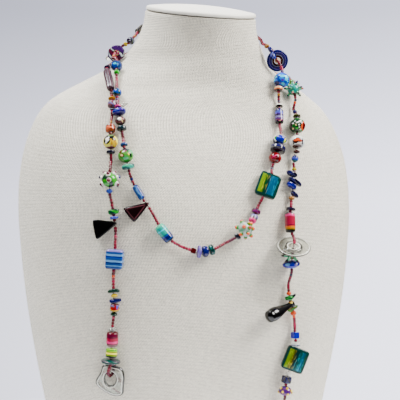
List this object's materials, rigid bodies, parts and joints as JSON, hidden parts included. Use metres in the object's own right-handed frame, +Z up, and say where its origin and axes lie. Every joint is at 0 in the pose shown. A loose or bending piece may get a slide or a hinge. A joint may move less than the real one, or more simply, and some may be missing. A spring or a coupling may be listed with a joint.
{
  "type": "beaded necklace on a neck bust",
  "caption": "Long open-ended necklace of mixed lampwork glass beads on dark red seed beads, wrapped round a linen-covered neck bust.",
  "frame": {"origin": "on the bust's flat base, straight below the middle of its shoulders' widest line", "axes": "+Z up from the base to the neck; the bust's chest faces -Y; +X to the right as one looks at the chest"},
  "size_m": [0.3608, 0.2143, 0.5446],
  "materials": {
    "linen": "matt plain weave",
    "cap_board": "smooth matt",
    "seed_glass": "glossy dark red",
    "clear_glass": "clear, glossy",
    "blue_glass": "glossy, striped and mottled",
    "cobalt_glass": "glossy, swirled with white",
    "navy_glass": "glossy",
    "green_glass": "glossy, with coloured dots",
    "turquoise_glass": "glossy",
    "purple_glass": "glossy",
    "lilac_glass": "satin to glossy",
    "pink_glass": "glossy, banded",
    "black_glass": "glossy",
    "dark_red_glass": "glossy",
    "yellow_glass": "glossy, with black lines",
    "earth_glass": "glossy",
    "foil_glass": "glossy over coloured foil"
  },
  "bodies": {
    "root": {"neck_bust": "linen", "neck_cap": "cap_board", "string_outer_left": "seed_glass", "string_nape_first": "seed_glass", "string_inner_right": "seed_glass", "string_inner_left": "seed_glass", "string_nape_second": "seed_glass", "string_outer_right": "seed_glass", "end_ring": "clear_glass", "clear_disc_big": "clear_glass", "spiky_clear": "clear_glass", "lampwork_clear": "clear_glass", "striped_cube_blue": "blue_glass", "blue_tube": "blue_glass", "faceted_blue": "blue_glass", "sky_bead": "blue_glass", "blue_bead": "blue_glass", "cobalt_bead": "cobalt_glass", "cobalt_swirl": "cobalt_glass", "lampwork_cobalt": "cobalt_glass", "navy_chip_3": "cobalt_glass", "striped_disc_blue": "navy_glass", "navy_chip_1": "navy_glass", "navy_chip_2": "navy_glass", "navy_chip_4": "navy_glass", "navy_disc_low": "navy_glass", "green_disc": "green_glass", "green_disc_low": "green_glass", "bumpy_green": "green_glass", "lampwork_flower": "green_glass", "lampwork_dark_green": "green_glass", "lime_barrel": "green_glass", "turquoise_disc": "turquoise_glass", "teal_bead": "turquoise_glass", "barrel_turquoise": "turquoise_glass", "spiky_aqua": "turquoise_glass", "purple_ring": "purple_glass", "purple_disc_low": "purple_glass", "barrel_purple": "purple_glass", "indigo_disc": "purple_glass", "bumpy_purple": "purple_glass", "lavender_bead": "lilac_glass", "barrel_grey": "lilac_glass", "fluted_tube": "lilac_glass", "magenta_barrel": "pink_glass", "pink_barrel": "pink_glass", "black_triangle": "black_glass", "black_drop": "black_glass", "maroon_triangle": "dark_red_glass", "red_bead": "dark_red_glass", "lampwork_yellow": "yellow_glass", "terracotta_bead": "earth_glass", "lampwork_white": "earth_glass", "foil_square_mid": "foil_glass", "foil_square_low": "foil_glass"}
  },
  "joints": []
}
